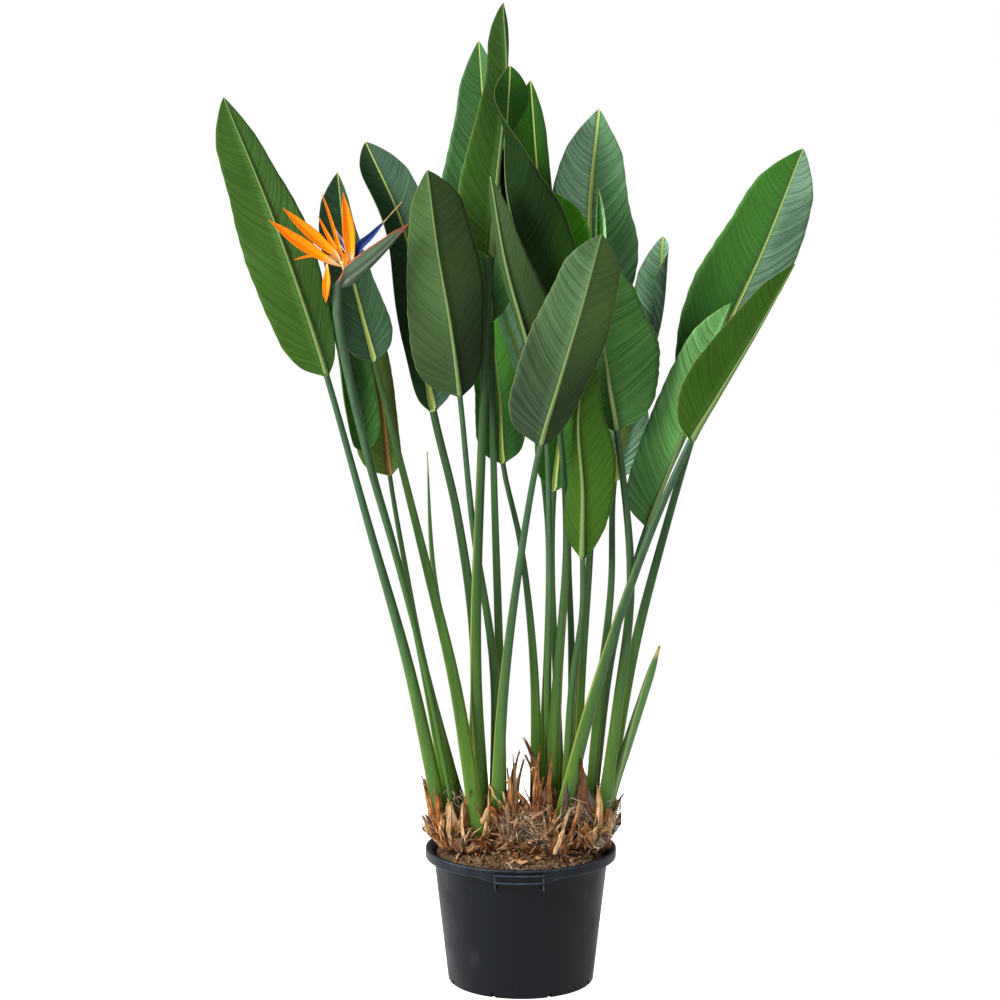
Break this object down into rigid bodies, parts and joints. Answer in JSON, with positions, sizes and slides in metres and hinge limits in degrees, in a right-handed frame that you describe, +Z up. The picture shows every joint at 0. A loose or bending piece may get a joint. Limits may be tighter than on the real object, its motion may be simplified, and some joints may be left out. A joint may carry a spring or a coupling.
{
  "type": "potted bird of paradise",
  "caption": "Bird of paradise houseplant: paddle leaves on long stalks and one crested flower, in a round tapered nursery pot with rolled rim and grip ledges.",
  "frame": {"origin": "centre of the pot's underside", "axes": "+Z up; -Y towards the front of the plant, +X to its right as seen from the front"},
  "size_m": [0.9683, 0.336, 1.6201],
  "materials": {
    "pot": "satin",
    "soil": "matte",
    "husk": "matte",
    "leaf": "satin",
    "spear": "satin",
    "flower_stem": "satin",
    "sepal": "satin",
    "petal": "satin"
  },
  "bodies": {
    "root": {"crown_left": "husk", "crown_right": "husk", "flower_petal_left": "petal", "flower_petal_right": "petal", "flower_sepals": "sepal", "flower_stem": "flower_stem", "leaf_back_centre": "leaf", "leaf_behind_folded": "leaf", "leaf_far_left": "leaf", "leaf_far_right": "leaf", "leaf_front": "leaf", "leaf_hooked": "leaf", "leaf_left_behind_flower": "leaf", "leaf_left_curled": "leaf", "leaf_left_front": "leaf", "leaf_low_centre": "leaf", "leaf_low_front": "leaf", "leaf_low_left": "leaf", "leaf_low_left_back": "leaf", "leaf_right_folded": "leaf", "leaf_right_front": "leaf", "leaf_right_narrow": "leaf", "leaf_right_ribbed": "leaf", "leaf_tallest": "leaf", "leaf_top_back_left": "leaf", "leaf_top_back_right": "leaf", "leaf_top_folded": "leaf", "leaf_top_right": "leaf", "leaf_young_rolled": "leaf", "pot": "pot", "soil": "soil", "spear_left": "spear", "spear_right": "spear"}
  },
  "joints": []
}
